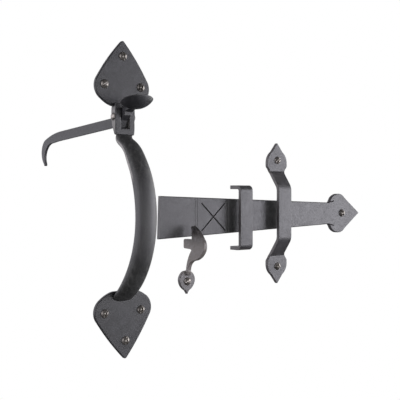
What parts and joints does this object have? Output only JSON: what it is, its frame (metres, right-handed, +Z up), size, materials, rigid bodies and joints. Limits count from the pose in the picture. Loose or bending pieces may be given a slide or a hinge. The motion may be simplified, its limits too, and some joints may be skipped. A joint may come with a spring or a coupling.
{
  "type": "thumb latch",
  "caption": "Black Suffolk-style thumb latch set: curved pull handle with pressing thumb lever, pivoting arrow-headed latch bar, guide strap, staple and hooked keep.",
  "frame": {"origin": "middle of the handle's four side screws, on the door face", "axes": "+Y into the door (the hardware stands out towards -Y); +X along the latch bar, away from the handle; +Z up"},
  "size_m": [0.2845, 0.167, 0.2304],
  "materials": {
    "plate_black": "satin black baked coating over iron",
    "grip_black": "satin black baked coating over iron",
    "lever_black": "satin black baked coating over iron",
    "bar_black": "satin black baked coating over iron",
    "strap_black": "satin black baked coating over iron",
    "keep_black": "satin black baked coating over iron",
    "screw_black": "satin black baked coating over iron"
  },
  "bodies": {
    "fixed_hardware": {"top_plate": "plate_black", "bottom_plate": "plate_black", "lever_housing": "plate_black", "grip": "grip_black", "pivot_pin": "screw_black", "guide_strap": "strap_black", "staple": "strap_black", "keep": "keep_black", "pivot_screw": "screw_black", "screw_top_left": "screw_black", "screw_top_right": "screw_black", "screw_top_tip": "screw_black", "screw_bottom_left": "screw_black", "screw_bottom_right": "screw_black", "screw_bottom_tip": "screw_black", "screw_strap_upper": "screw_black", "screw_strap_lower": "screw_black", "screw_keep": "screw_black"},
    "thumb_lever": {"lever_tail": "lever_black", "thumb_piece": "lever_black"},
    "bar": {"latch_bar": "bar_black"}
  },
  "joints": [
    {"name": "thumb_press", "type": "hinge", "parent": "fixed_hardware", "child": "thumb_lever", "pos_m": [0, -0.003, 0.059], "axis": [1, 0, 0], "range_deg": [0, 9]},
    {"name": "bar_lift", "type": "hinge", "parent": "fixed_hardware", "child": "bar", "pos_m": [0.2365, -0.002, -0.014], "axis": [0, 1, 0], "range_deg": [0, 3.24]}
  ],
  "couplings": [
    {"joint": "bar_lift", "follows": "thumb_press", "ratio": 0.36}
  ]
}
